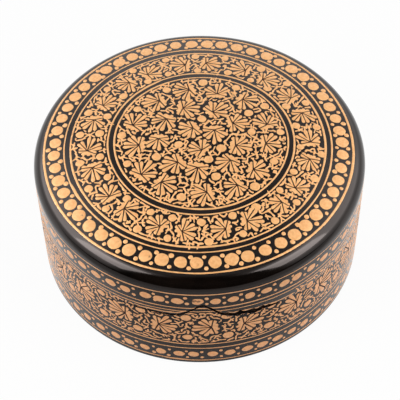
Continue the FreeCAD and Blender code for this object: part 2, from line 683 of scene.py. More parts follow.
@dataclass(frozen=True)
class GoldPaint(Finish):
    """Gold powder in gum, brushed on and varnished: bright, mottled and finely grained.

    The brush leaves thicker and thinner gold. Some of it is rubbed, most of all at the scuffs,
    which are points of the box in millimetres.
    """

    full: Colour = (0.95, 0.52, 0.215)
    thin: Colour = (0.87, 0.42, 0.15)
    rubbed: Colour = (0.22, 0.085, 0.03)
    metallic: float = 0.25
    gloss: Span = (0.36, 0.5)
    gloss_size: float = 0.5
    coat: float = 0.25
    coat_roughness: float = 0.12
    brush_size: float = 1.1
    brush_span: Span = (0.36, 0.66)
    brush_depth: float = 0.008
    grain_size: float = 0.12
    grain_depth: float = 0.004
    rub_size: float = 1.6
    rub_span: Span = (0.64, 0.74)
    rub_share: float = 0.8
    scuffs: tuple[Point, ...] = ()
    scuff_reach: Point = (2.0, 2.0, 0.75)
    scuff_edge: Span = (0.75, 1.0)
    scuff_share: float = 0.9
    scuff_break: float = 0.45
    scuff_break_size: float = 0.7

    def inputs(self, nodes: Nodes) -> Inputs:
        """Brush marks and rubbed spots in the colour, brush marks and grain in the relief.

        Args:
            nodes: Tree of the material.

        Returns:
            Values and sockets by the name of the input.
        """
        brush = nodes.spread(nodes.noise(self.brush_size, 4.0), *self.brush_span, 0, 1)
        rub = nodes.spread(nodes.noise(self.rub_size, 6.0, 0.65), *self.rub_span, 0, self.rub_share)
        for spot in self.scuffs:
            rub = nodes.math("MAXIMUM", rub, self._scuff(nodes, spot))
        grain = nodes.bump(nodes.noise(self.grain_size, 2.0), self.grain_depth)
        return {
            "Base Color": nodes.blend(rub, nodes.blend(brush, self.full, self.thin), self.rubbed),
            "Metallic": self.metallic,
            "Roughness": nodes.spread(nodes.noise(self.gloss_size), *NOISE_SPAN, *self.gloss),
            "Coat Weight": self.coat,
            "Coat Roughness": self.coat_roughness,
            "Normal": nodes.bump(brush, self.brush_depth, grain),
        }

    def _scuff(self, nodes: Nodes, spot: Point) -> Socket:
        """Share of rubbed gold round one point, wide and low, with a broken edge.

        It falls off with the distance from the point over the scuff's reach, plus noise.

        Args:
            nodes: Tree of the material.
            spot: Middle of the scuff.

        Returns:
            The share, from 0 to 1.
        """
        away = nodes.vector("SUBTRACT", nodes.place.outputs["Object"], tuple(c * MM for c in spot))
        away = nodes.vector("MULTIPLY", away, tuple(1 / (reach * MM) for reach in self.scuff_reach))
        away = nodes.add("ShaderNodeVectorMath", {0: away}, operation="LENGTH").outputs["Value"]
        broken = nodes.noise(self.scuff_break_size, 4.0)
        broken = nodes.spread(broken, *NOISE_SPAN, -self.scuff_break, self.scuff_break)
        return nodes.spread(nodes.math("ADD", away, broken), *self.scuff_edge, self.scuff_share, 0.0)


# Charts and paint


@dataclass(frozen=True)
class CrownChart:
    """Plan of the lid: (x, y) goes to the crown's sphere or the shoulder, w above the lacquer."""

    form: BoxForm

    def place(self, u: Array, v: Array, w: Array) -> Array:
        """Put points of the chart onto the lid.

        The section of the crown and that of the shoulder are arcs: with a = asin((d - m) / R),
        d the distance from the axis and m the place of the arc's centre, the point lies at
        r = m + R' sin a and z = h + R' cos a, where R' is the lacquer's radius plus w.

        Args:
            u: Distances to the right of the axis.
            v: Distances behind it.
            w: Heights above the lacquer.

        Returns:
            Points (x, y, z).
        """
        form = self.form
        away = np.maximum(np.hypot(u, v), 1e-6)
        past = away > form.crown_radius * math.sin(form.edge_slope)
        middle = np.where(past, form.radius - form.shoulder_radius, 0.0)
        height = np.where(past, form.shoulder_height, form.crown_centre)
        radius = np.where(past, form.shoulder_radius, form.crown_radius)
        slope = np.arcsin(np.clip((away - middle) / radius, 0, 1))
        lifted = radius - form.paint_room + w
        out = (middle + lifted * np.sin(slope)) / away
        return np.stack([u * out, v * out, height + lifted * np.cos(slope)], -1)


@dataclass(frozen=True)
class WallChart:
    """Wall rolled out: (arc length from the front, height), w outside its lacquer."""

    form: BoxForm

    def place(self, u: Array, v: Array, w: Array) -> Array:
        """Put points of the chart onto the wall.

        A point goes to (r sin a, -r cos a, v) with a = u / R and r the lacquer's radius plus w.

        Args:
            u: Arc lengths from the front.
            v: Heights.
            w: Heights outside the lacquer.

        Returns:
            Points (x, y, z).
        """
        angle = u / self.form.radius
        radius = self.form.radius - self.form.paint_room + w
        return np.stack([radius * np.sin(angle), -radius * np.cos(angle), v], -1)


@dataclass
class Paint:
    """Strokes and dabs of one colour, collected on a chart.

    Every stroke and dab is closed: its edge lies just under the lacquer, its top above it. From
    the edge it rises to a shoulder, which carries the flat top.
    """

    thickness: float = 0.045
    sink: float = 0.015
    base_level: float = 0.0
    stroke_shoulder: float = 0.7
    stroke_lift: Span = (0.7, 1.0)
    dab_shoulder: float = 0.86
    dab_lift: Span = (0.75, 1.0)
    dab_dome: float = 0.002
    dab_waves: tuple[int, ...] = (2, 3, 4, 5)
    vertices: list[Array] = field(default_factory=list)
    quads: list[Array] = field(default_factory=list)
    triangles: list[Array] = field(default_factory=list)
    prints: list[Array] = field(default_factory=list)
    count: int = 0

    @classmethod
    def thin_ink(cls) -> "Paint":
        """Paint so thin that it just stands over the gold that it is drawn on."""
        return cls(thickness=0.012, sink=0.02, base_level=0.046)

    def _store(self, points: Array) -> Array:
        """Keep vertices.

        Args:
            points: Points (..., 3) of the chart, each (u, v, w).

        Returns:
            Their indices, in the same layout.
        """
        index = self.count + np.arange(points[..., 0].size).reshape(points.shape[:-1])
        self.vertices.append(points.reshape(-1, 3))
        self.count += index.size
        return index

    def strokes(self, paths: Array, half_widths: Array, rng: Generator) -> None:
        """Lay strokes along paths.

        Across the path there are four points: the two edges and the two shoulders.

        Args:
            paths: Middle lines (stroke, station, 2) on the chart.
            half_widths: Half width at every station.
            rng: Source of the small differences in thickness.
        """
        along = np.gradient(paths, axis=1)
        along /= np.maximum(np.hypot(along[..., 0], along[..., 1]), 1e-9)[..., None]
        across = np.stack([-along[..., 1], along[..., 0]], -1)
        sides = np.array([-1, -self.stroke_shoulder, self.stroke_shoulder, 1])
        flat = paths[..., None, :] + across[..., None, :] * (half_widths[..., None] * sides)[..., None]
        lift = self.base_level + self.thickness * rng.uniform(*self.stroke_lift, len(paths))
        levels = np.where(np.abs(sides) < 1, lift[:, None, None], self.base_level - self.sink)
        levels = np.broadcast_to(levels, flat.shape[:-1])
        index = self._store(np.concatenate([flat, levels[..., None]], -1))
        now, then = index[:, :-1], index[:, 1:]
        body = np.stack([now, then, np.roll(then, -1, 2), np.roll(now, -1, 2)], -1).reshape(-1, 4)
        self.quads += [body, np.concatenate([index[:, 0], index[:, -1, ::-1]])]
        spots = np.concatenate([paths, half_widths[..., None]], -1)
        self.prints += [spots.reshape(-1, 3), (spots[:, 1:] + spots[:, :-1]).reshape(-1, 3) / 2]

    def dabs(self, centres: Array, radii: Array, rng: Generator, sides: int = 14, uneven: float = 0.07,
             headings: Array | None = None) -> None:
        """Lay round dabs with a slightly uneven edge.

        The edge is r (1 + sum of e cos(k a + p)) for a few small k, with random phases p.

        Args:
            centres: Middle points (dab, 2).
            radii: Half lengths along and across the heading (dab, 2), or one for both (dab, 1).
            rng: Source of the unevenness.
            sides: Corners of each edge.
            uneven: Size of the unevenness.
            headings: Angle of each dab's first axis.
        """
        total = len(centres)
        radii = np.broadcast_to(radii, (total, 2))
        turn = np.linspace(0, FULL_TURN, sides, endpoint=False)
        wobble = np.ones((total, sides))
        for order in self.dab_waves:
            wave = np.cos(order * turn + rng.uniform(0, FULL_TURN, (total, 1)))
            wobble += uneven / math.sqrt(order) * rng.uniform(0.2, 1, (total, 1)) * wave
        headings = np.zeros(total) if headings is None else headings
        along, across = radii[:, :1] * wobble * np.cos(turn), radii[:, 1:] * wobble * np.sin(turn)
        cosine, sine = np.cos(headings)[:, None], np.sin(headings)[:, None]
        shape = np.stack([along * cosine - across * sine, along * sine + across * cosine], -1)
        rings = np.stack([shape, shape * self.dab_shoulder], 1) + centres[:, None, None]
        lift = self.base_level + self.thickness * rng.uniform(*self.dab_lift, total)
        edge = np.full(total, self.base_level - self.sink)
        levels = np.broadcast_to(np.stack([edge, lift], 1)[..., None], rings.shape[:-1])
        index = self._store(np.concatenate([rings, levels[..., None]], -1))
        middle = self._store(np.concatenate([centres, lift[:, None] + self.dab_dome], -1))
        floor = self._store(np.concatenate([centres, edge[:, None]], -1))
        outer, inner = index[:, 0], index[:, 1]
        following, inner_following = np.roll(outer, -1, 1), np.roll(inner, -1, 1)
        self.quads.append(np.stack([outer, following, inner_following, inner], -1).reshape(-1, 4))
        top = np.stack([inner, inner_following, np.broadcast_to(middle[:, None], inner.shape)], -1)
        under = np.stack([following, outer, np.broadcast_to(floor[:, None], outer.shape)], -1)
        self.triangles += [top.reshape(-1, 3), under.reshape(-1, 3)]
        self.prints.append(np.concatenate([centres, radii.max(1, keepdims=True)], 1))

    def all_prints(self) -> Array:
        """Circles (u, v, radius) that cover all that is painted so far."""
        return np.concatenate(self.prints)

    def lay(self, chart: CrownChart | WallChart, name: str, finish: Material, half: Half,
            parting: Parting | None = None) -> None:
        """Put what is painted onto the box as one piece.

        Where a parting is given, only the paint on one side of it is laid.

        Args:
            chart: Chart that the paint was collected on.
            name: Name of the piece.
            finish: Its material.
            half: Body that carries it.
            parting: Cut that ends the paint of this half.
        """
        points = np.concatenate(self.vertices)
        faces = [np.concatenate(part) for part in (self.quads, self.triangles) if part]
        if parting is not None:
            points, faces = self._cut(points, faces, half, parting)
        if faces:
            placed = chart.place(points[:, 0], points[:, 1], points[:, 2])
            make_piece(name, placed, faces, finish, half, sharp=30.0)

    @staticmethod
    def _cut(points: Array, faces: Faces, half: Half, parting: Parting) -> tuple[Array, Faces]:
        """Draw paint back to one side of the parting and drop the faces wholly past it.

        Args:
            points: Points (u, v, w) of the wall's chart.
            faces: Index arrays, one for each number of corners.
            half: Body whose side is kept.
            parting: The cut.

        Returns:
            The points and faces that are left.
        """
        angles = points[:, 0] / parting.form.radius
        edge = parting.wall_edge(half, angles) + parting.chipped(half, angles, parting.paint_margin)
        past = points[:, 1] > edge if half is Half.BASE else points[:, 1] < edge
        points = points.copy()
        points[past, 1] = edge[past]
        kept = [part[~past[part].all(1)] for part in faces]
        used = np.unique(np.concatenate([part.ravel() for part in kept]))
        renumber = np.zeros(len(points), np.int64)
        renumber[used] = np.arange(len(used))
        return points[used], [renumber[part] for part in kept if len(part)]


def polar(radii: Array | float, angles: Array | float) -> Array:
    """Point of the plan at a radius and an angle from the front."""
    radii, angles = np.broadcast_arrays(radii, angles)
    return np.stack([radii * np.sin(angles), -radii * np.cos(angles)], -1)


def pointing(headings: Array) -> Array:
    """Steps of length 1 on a chart, in the given directions."""
    return np.stack([np.cos(headings), np.sin(headings)], 1)


def stride(length: float, heading: float) -> Array:
    """One step of a length on a chart, in a direction."""
    return length * np.array([math.cos(heading), math.sin(heading)])


def bent(starts: Array, ends: Array, sway: Array, stations: Array) -> Array:
    """Curves (1-t)^2 a + 2t(1-t) m + t^2 b, whose middle m lies off the straight line.

    Args:
        starts: Points a (curve, 2).
        ends: Points b.
        sway: How far m lies to the left of the line, over the line's length.
        stations: Values of t.

    Returns:
        Points (curve, station, 2).
    """
    along = ends - starts
    across = np.stack([-along[:, 1], along[:, 0]], 1)
    middles = (starts + ends) / 2 + across * sway[:, None]
    t = stations[None, :, None]
    return (1 - t) ** 2 * starts[:, None] + 2 * t * (1 - t) * middles[:, None] + t**2 * ends[:, None]


@dataclass(frozen=True)
class Touch:
    """One touch of the brush in a leaf.

    It is aimed by its turn in degrees from the axis of its lobe; its length and half width are
    given over the length of the leaf.
    """

    turn: float
    length: float
    half_width: float


@dataclass(frozen=True)
class LeafBrush:
    """How a plane leaf is painted.

    Five lobes, each of a turn and a length, fan out from the root. Each is a pair of clubbed
    touches, and an inked vein runs up between the pair. Short touches close the leaf behind the
    root. The club and the taper are half widths at the stations. A stray is the spread of an
    angle, and a reach the least and most of a length.
    """

    lobes: tuple[Span, ...] = ((0, 1.05), (50, 0.95), (-50, 0.95), (102, 0.66), (-102, 0.66))
    touches: tuple[Touch, ...] = (Touch(10, 1.0, 0.132), Touch(-10, 1.0, 0.132))
    back: tuple[Touch, ...] = (Touch(146, 0.42, 0.12), Touch(-146, 0.42, 0.12), Touch(180, 0.3, 0.11))
    stations: tuple[float, ...] = (0, 0.15, 0.32, 0.5, 0.66, 0.8, 0.92, 1.0)
    club: tuple[float, ...] = (0.35, 0.45, 0.58, 0.74, 0.88, 1.0, 0.9, 0.35)
    vein_taper: tuple[float, ...] = (1.0, 1.1, 1.0, 0.95, 0.9, 0.85, 0.8, 0.5)
    vein_width: float = 0.042
    root_share: float = 0.3
    sway: float = 0.02
    press: Span = (0.9, 1.08)
    lobe_stray: float = 0.045
    lobe_reach: Span = (0.86, 1.06)
    touch_stray: float = 0.02
    touch_reach: Span = (0.86, 1.03)
    back_stray: float = 0.06
    back_reach: Span = (0.9, 1.08)

    def paint(self, gold: Paint, ink: Paint, middles: Array, headings: Array, lengths: Array,
              rng: Generator) -> None:
        """Paint leaves, each a fan of strokes from its root.

        Args:
            gold: Paint of the lobes.
            ink: Paint of the veins.
            middles: Middle of each leaf (leaf, 2).
            headings: Directions of the middle lobes.
            lengths: Lengths of the middle lobes.
            rng: Source of the differences between leaves.
        """
        total = len(middles)
        roots = middles - pointing(headings) * lengths[:, None] * self.root_share
        stations, club, taper = (np.array(values) for values in (self.stations, self.club, self.vein_taper))

        def put(paint: Paint, aim: Array, reach: Array, sway: float, widths: Array) -> None:
            """Paint one stroke of every leaf.

            Args:
                paint: Paint to add to.
                aim: Directions of the strokes.
                reach: Their lengths.
                sway: How far they bend to the left, over their length.
                widths: Their half widths (leaf, station).
            """
            tips = roots + reach[:, None] * pointing(aim)
            paths = bent(roots, tips, rng.normal(sway, self.sway, total), stations)
            paint.strokes(paths, widths * rng.uniform(*self.press, (total, 1)), rng)

        for turn, share in self.lobes:
            axes = headings + math.radians(turn) + rng.normal(0, self.lobe_stray, total)
            reaches = lengths * share * rng.uniform(*self.lobe_reach, total)
            for touch in self.touches:
                aim = axes + math.radians(touch.turn) + rng.normal(0, self.touch_stray, total)
                reach = reaches * touch.length * rng.uniform(*self.touch_reach, total)
                sway = -math.copysign(self.sway, touch.turn)
                put(gold, aim, reach, sway, lengths[:, None] * touch.half_width * club)
            put(ink, axes, reaches, 0.0, lengths[:, None] * self.vein_width * taper)
        for touch in self.back:
            aim = headings + math.radians(touch.turn) + rng.normal(0, self.back_stray, total)
            reach = lengths * touch.length * rng.uniform(*self.back_reach, total)
            put(gold, aim, reach, 0.0, lengths[:, None] * touch.half_width * club)


class Ground:
    """Map of the ground that is still bare in a region of a chart, as a grid of small cells."""

    def __init__(self, low: Array, high: Array, inside: Region, cell: float = 0.1) -> None:
        """Start with bare ground wherever the region is.

        Args:
            low: Lowest corner of a rectangle round the region.
            high: Its highest corner.
            inside: Tells which points lie in the region.
            cell: Side of a cell.
        """
        self.low, self.cell = np.asarray(low, float), cell
        self.shape = np.ceil((np.asarray(high) - self.low) / cell).astype(int) + 1
        spots = np.indices(self.shape).reshape(2, -1).T * cell + self.low
        self.covered = ~inside(spots).reshape(self.shape)

    def cover(self, circles: Array, gap: float) -> None:
        """Cover circles and a gap round them.

        Args:
            circles: Circles (u, v, radius).
            gap: Width of the gap.
        """
        spots = (circles[:, :2] - self.low) / self.cell
        reaches = (circles[:, 2] + gap) / self.cell
        firsts = np.maximum(np.ceil(spots - reaches[:, None]).astype(int), 0)
        lasts = np.minimum(np.floor(spots + reaches[:, None]).astype(int) + 1, self.shape)
        for spot, reach, first, last in zip(spots, reaches, firsts, lasts):
            if first[0] < last[0] and first[1] < last[1]:
                i, j = np.ogrid[first[0]:last[0], first[1]:last[1]]
                near = (i - spot[0]) ** 2 + (j - spot[1]) ** 2 <= reach**2
                self.covered[first[0]:last[0], first[1]:last[1]] |= near

    def bare(self, point: Array) -> bool:
        """Whether a point lies on bare ground."""
        i, j = round((point[0] - self.low[0]) / self.cell), round((point[1] - self.low[1]) / self.cell)
        return 0 <= i < self.shape[0] and 0 <= j < self.shape[1] and not self.covered[i, j]

    def bare_spots(self, rng: Generator) -> Array:
        """Middles of all bare cells, shuffled."""
        cells = np.argwhere(~self.covered)
        return rng.permutation(cells) * self.cell + self.low


@dataclass(frozen=True)
class Tendrils:
    """Winding strokes, like coral, that grow over the ground between the leaves, with spurs.

    A trail goes on by steps, each turned as little as the ground allows, and prongs grow from
    its sides. Spurs then reach into what is left. Where the tendrils are joined, their ends and
    prongs reach over to what is painted beside them.
    """

    half_width: float
    gap: float
    joined: bool
    stretch: Span
    step: float = 0.42
    longest: int = 7
    shortest: int = 3
    winding: float = 0.75
    pace: Span = (0.8, 1.5)
    turns: tuple[float, ...] = (0, 0.4, -0.4, 0.8, -0.8)
    stations: int = 14
    press: Span = (0.85, 1.1)
    swell: float = 0.25
    swell_pace: Span = (1.2, 2.8)
    thinnest: float = 0.03
    prong_share: float = 0.55
    prong_length: Span = (0.8, 1.25)
    prong_stray: float = 0.35
    prong_bend: float = 0.06
    prong_room: float = 0.95
    spur_reach: float = 1.9
    spur_stations: int = 6
    spur_width: float = 0.85
    spur_least: float = 0.3
    spur_bend: float = 0.08

    def _walk(self, ground: Ground, spot: Array, aim: float, rng: Generator) -> list[Array]:
        """Wind over bare ground, a step at a time, until there is no way on.

        Args:
            ground: Map of the bare ground.
            spot: Point to start from.
            aim: Direction to start in.
            rng: Source of the winding.

        Returns:
            Points of the trail, from the first on.
        """
        trail = [spot]
        phase, pace = rng.uniform(0, FULL_TURN), rng.uniform(*self.pace)
        room = 2 * self.half_width + self.gap
        for count in range(self.longest):
            aim += self.winding * math.sin(phase + pace * count)
            for turn in self.turns:
                tip = trail[-1] + stride(self.step, aim + turn)
                apart = all(math.dist(tip, point) > room for point in trail[:-3])
                if apart and ground.bare(tip):
                    break
            else:
                break
            trail.append(tip)
            aim += turn
        return trail

    def _prongs(self, ground: Ground, trail: Array, rng: Generator) -> list[Array]:
        """Short side strokes of a trail; unless joined, only where the ground is bare.

        Args:
            ground: Map of the bare ground.
            trail: Points of the trail.
            rng: Source of their sides, lengths and aims.

        Returns:
            Three points for each prong, from its root on.
        """
        prongs = []
        for before, root, after in zip(trail[::2], trail[1::2], trail[2::2]):
            along = math.atan2(after[1] - before[1], after[0] - before[0])
            aim = along + math.copysign(rng.normal(math.pi / 2, self.prong_stray), rng.uniform(-1, 1))
            tip = root + stride(rng.uniform(*self.prong_length), aim)
            apart = all(math.dist(tip, point) > self.prong_room * self.prong_length[0] for point in trail)
            if rng.uniform() < self.prong_share and apart and (self.joined or ground.bare(tip)):
                prongs.append(np.array([root, (root + tip) / 2 + rng.normal(0, self.prong_bend, 2), tip]))
        return prongs

    def _draw(self, gold: Paint, trails: list[Array], half_width: float, stations: int, rng: Generator) -> None:
        """Draw smooth strokes along trails, with round ends and a half width that swells and thins.

        At a distance d from an end the half width h is that of a circle, h sqrt(1 - (1 - d/h)^2).

        Args:
            gold: Paint to add to.
            trails: Points of each trail.
            half_width: Half width of the strokes.
            stations: Number of stations along each.
            rng: Source of their ends and widths.
        """
        t = (1 - np.cos(np.linspace(0, math.pi, stations))) / 2
        paths, widths = [], []
        for trail in trails:
            inner = trail.copy()
            for _ in range(2):
                inner[1:-1] = (inner[:-2] + 2 * inner[1:-1] + inner[2:]) / 4
            first, last = inner[0] - inner[1], inner[-1] - inner[-2]
            reach = half_width + rng.uniform(*self.stretch, 2)
            path = np.concatenate([[inner[0] + first * reach[0] / math.hypot(*first)], inner,
                                   [inner[-1] + last * reach[1] / math.hypot(*last)]])
            along = np.append(0, np.cumsum(np.hypot(*np.diff(path, axis=0).T)))
            at = t * along[-1]
            paths.append(np.stack([np.interp(at, along, path[:, 0]), np.interp(at, along, path[:, 1])], 1))
            left = np.clip(np.minimum(at, along[-1] - at) / half_width, self.thinnest, 1)
            swell = 1 + self.swell * np.sin(rng.uniform(*self.swell_pace) * at + rng.uniform(0, FULL_TURN))
            widths.append(half_width * swell * rng.uniform(*self.press) * np.sqrt(1 - (1 - left) ** 2))
        if paths:
            gold.strokes(np.array(paths), np.array(widths), rng)

    def _trails(self, ground: Ground, rng: Generator) -> tuple[list[Array], list[Array]]:
        """Wind trails over the bare ground, one after another, and cover it with them.

        Args:
            ground: Map of the bare ground.
            rng: Source of the starts and windings.

        Returns:
            The trails and their prongs.
        """
        trails, prongs = [], []
        for spot in ground.bare_spots(rng):
            if not ground.bare(spot):
                continue
            aim = rng.uniform(0, FULL_TURN)
            trail = self._walk(ground, spot, aim, rng)
            trail = self._walk(ground, spot, aim + math.pi, rng)[:0:-1] + trail
            if len(trail) > self.shortest:
                trails.append(np.array(trail))
                sides = self._prongs(ground, trails[-1], rng)
                prongs += sides
                self._cover(ground, np.concatenate([trails[-1], *(prong[1:] for prong in sides)]))
        return trails, prongs

    def _cover(self, ground: Ground, points: Array) -> None:
        """Cover the ground that strokes through points take, with a gap and room for the next."""
        circles = np.concatenate([points, np.full((len(points), 1), self.half_width)], 1)
        ground.cover(circles, self.gap + self.half_width)

    def paint(self, gold: Paint, blocked: Array, low: Array, high: Array, inside: Region,
              rng: Generator) -> None:
        """Fill the free ground of a region: first winding trails, then spurs from them into what is left.

        Args:
            gold: Paint to add to.
            blocked: Circles (u, v, radius) to keep clear of.
            low: Lowest corner of the region's rectangle.
            high: Its highest corner.
            inside: Tells which points lie in the region.
            rng: Source of the starts, windings and widths.
        """
        ground = Ground(low, high, inside)
        ground.cover(blocked, self.gap + self.half_width)
        taken = ground.covered.copy()
        trails, spurs = self._trails(ground, rng)
        self._draw(gold, trails, self.half_width, self.stations, rng)

        points = np.concatenate(trails)
        for spot in ground.bare_spots(rng):
            if not ground.bare(spot):
                continue
            away = np.hypot(*(points - spot).T)
            near = points[away.argmin()]
            middle = ((near + spot) / 2 - ground.low) / ground.cell
            if away.min() > self.spur_reach or taken[round(middle[0]), round(middle[1])]:
                near = spot + stride(self.spur_least, rng.uniform(0, FULL_TURN))
            spurs.append(np.array([near, (near + spot) / 2 + rng.normal(0, self.spur_bend, 2), spot]))
            self._cover(ground, np.array([spot, near]))
        self._draw(gold, spurs, self.half_width * self.spur_width, self.spur_stations, rng)


@dataclass(frozen=True)
class LineBrush:
    """A line once round the box, whose end runs past its start beside it.

    Its waves are pairs of a share and a step: those of its straying sideways and those of its
    half width, which also swells slowly.
    """

    half_width: float = 0.27
    station: float = 1.0
    stray: float = 0.07
    stray_waves: tuple[Span, ...] = ((1.0, 14.0), (0.5, 4.0))
    width_waves: tuple[Span, ...] = ((0.16, 9.0), (0.10, 2.5))
    swell: float = 0.2
    swell_length: float = 28.0
    overlap: float = 9.0
    side_step: float = 0.32
    end_length: float = 3.0
    thinnest: float = 0.1

    def _run(self, length: float, start: float, rng: Generator) -> tuple[Array, Array, Array]:
        """Work out one line.

        Args:
            length: Length once round.
            start: Where it starts.
            rng: Source of its unevenness.

        Returns:
            Stations along the line, how far it strays sideways, and its half widths.
        """
        along = np.linspace(0, length + self.overlap, int(length / self.station))
        stray = self.stray * sum(share * wander(along, step, rng) for share, step in self.stray_waves)
        stray += self.side_step * (along / length - 0.5)
        width = sum((share * wander(along, step, rng) for share, step in self.width_waves), 1.0)
        width = self.half_width * (width + self.swell * np.sin(start + along / self.swell_length))
        ends = np.minimum(along, along[-1] - along) / self.end_length
        return start + along, stray, width * np.clip(np.sqrt(ends), self.thinnest, 1)

    def ring(self, gold: Paint, radius: float, start: float, rng: Generator, centre: Span) -> None:
        """Draw a ring on the crown's chart.

        Args:
            gold: Paint to add to.
            radius: Radius of the ring.
            start: Angle at which it starts.
            rng: Source of its unevenness.
            centre: Its centre.
        """
        along, stray, width = self._run(FULL_TURN * radius, start * radius, rng)
        path = polar(radius + stray, along / radius) + np.array(centre)
        gold.strokes(path[None], width[None], rng)

    def hoop(self, gold: Paint, height: float, around: float, start: float, rng: Generator) -> None:
        """Draw a level line on the wall's chart, once round the box from an arc length on."""
        along, stray, width = self._run(around, start, rng)
        gold.strokes(np.stack([along, height + stray], 1)[None], width[None], rng)


@dataclass
class Painting:
    """Painted ornament on one chart: leaves, discs and lines, tendrils between them, and veins.

    In the fields, a spread is the least and most of a random share of a size, and a stray how
    far a place or an angle is off at random. A stray along a row is a share of its step.
    """

    seed: ClassVar[int]
    form: BoxForm
    gold: Paint = field(init=False, default_factory=Paint)
    fill: Paint = field(init=False, default_factory=Paint)
    ink: Paint = field(init=False, default_factory=Paint.thin_ink)
    rng: Generator = field(init=False)

    def __post_init__(self) -> None:
        """Start the random draws, which all methods take in turn."""
        self.rng = np.random.default_rng(self.seed)

    def _lay(self, chart: CrownChart | WallChart, place: str, finishes: Sequence[Material],
             half: Half, parting: Parting | None = None) -> None:
        """Lay the three paints on the box.

        Args:
            chart: Chart that the paint was collected on.
            place: Place that the pieces are named for.
            finishes: Materials of the gold and the ink.
            half: Body that carries them.
            parting: Cut that ends the paint of this half.
        """
        gold, ink = finishes
        self.gold.lay(chart, f"{place}_gold_leaves_and_discs", gold, half, parting)
        self.fill.lay(chart, f"{place}_gold_tendrils", gold, half, parting)
        self.ink.lay(chart, f"{place}_leaf_veins", ink, half, parting)


